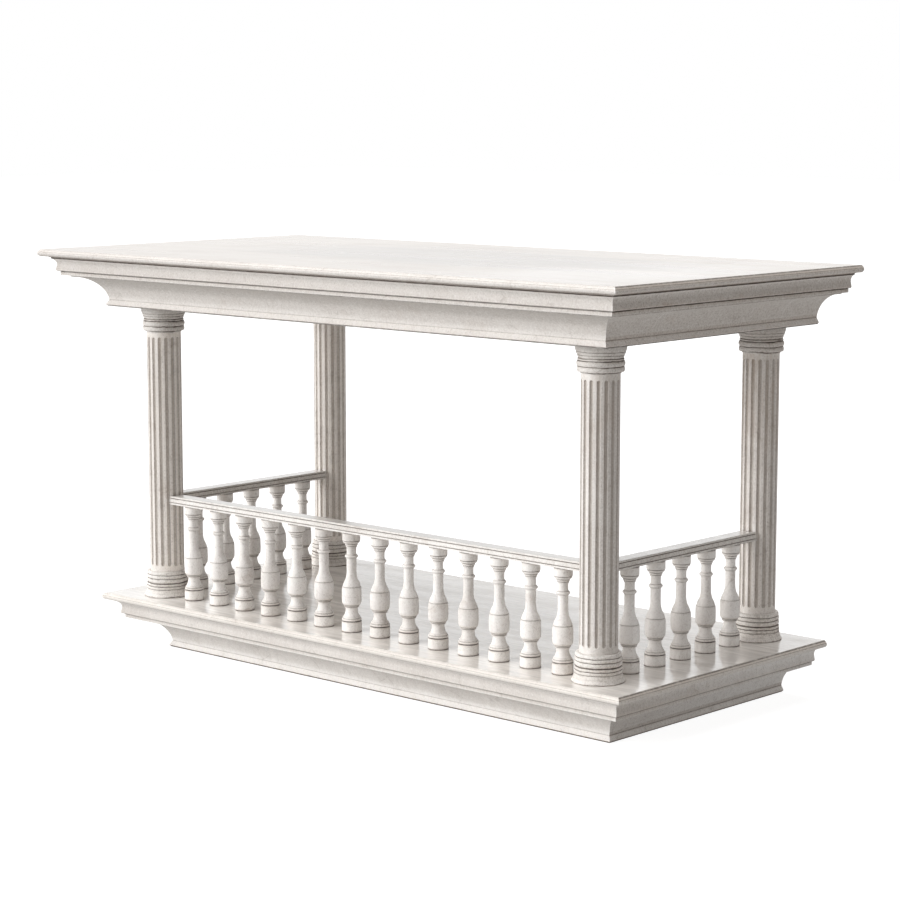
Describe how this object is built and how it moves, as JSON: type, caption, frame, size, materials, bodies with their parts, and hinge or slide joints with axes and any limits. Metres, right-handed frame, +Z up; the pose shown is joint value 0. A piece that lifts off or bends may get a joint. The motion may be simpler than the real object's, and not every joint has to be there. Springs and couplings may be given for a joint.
{
  "type": "stone balcony loggia",
  "caption": "Roofed stone balcony bay: moulded podium, fluted corner columns, turned-baluster railing on three sides and a moulded slab roof, open and flat at the back.",
  "frame": {"origin": "ground level under the middle of the roof's rectangle, so the back face is at +Y 1.735 m", "axes": "+X to the right along the long front, seen from the front; +Y from the front to the flat open back; +Z up"},
  "size_m": [7.146, 3.47, 3.946],
  "materials": {
    "floor": "smooth pale stone paving, faintly streaked and slightly reflective",
    "roof": "pale carved stone, matt, with dark dirt in the joints and hollows",
    "podium": "pale carved stone, matt, with dark dirt in the joints and hollows",
    "columns": "white fluted stone, matt, grey-brown dirt in the flutes",
    "rails": "pale carved stone, matt, dark dirt line in the groove",
    "balusters": "pale turned stone, matt, dirt at the necks and blocks"
  },
  "bodies": {
    "root": {"floor_slab": "floor", "podium_band": "podium", "podium_foot": "podium", "roof_slab": "roof", "roof_band": "roof", "roof_front_beam": "roof", "roof_back_beam": "roof", "roof_left_beam": "roof", "roof_right_beam": "roof", "front_left_column_base": "columns", "front_left_column_shaft": "columns", "front_left_column_capital": "columns", "front_right_column_base": "columns", "front_right_column_shaft": "columns", "front_right_column_capital": "columns", "back_left_column_base": "columns", "back_left_column_shaft": "columns", "back_left_column_capital": "columns", "back_right_column_base": "columns", "back_right_column_shaft": "columns", "back_right_column_capital": "columns", "front_rail": "rails", "left_rail": "rails", "right_rail": "rails", "front_baluster_01": "balusters", "front_baluster_02": "balusters", "front_baluster_03": "balusters", "front_baluster_04": "balusters", "front_baluster_05": "balusters", "front_baluster_06": "balusters", "front_baluster_07": "balusters", "front_baluster_08": "balusters", "front_baluster_09": "balusters", "front_baluster_10": "balusters", "front_baluster_11": "balusters", "front_baluster_12": "balusters", "front_baluster_13": "balusters", "front_baluster_14": "balusters", "left_baluster_1": "balusters", "left_baluster_2": "balusters", "left_baluster_3": "balusters", "left_baluster_4": "balusters", "left_baluster_5": "balusters", "right_baluster_1": "balusters", "right_baluster_2": "balusters", "right_baluster_3": "balusters", "right_baluster_4": "balusters", "right_baluster_5": "balusters"}
  },
  "joints": []
}
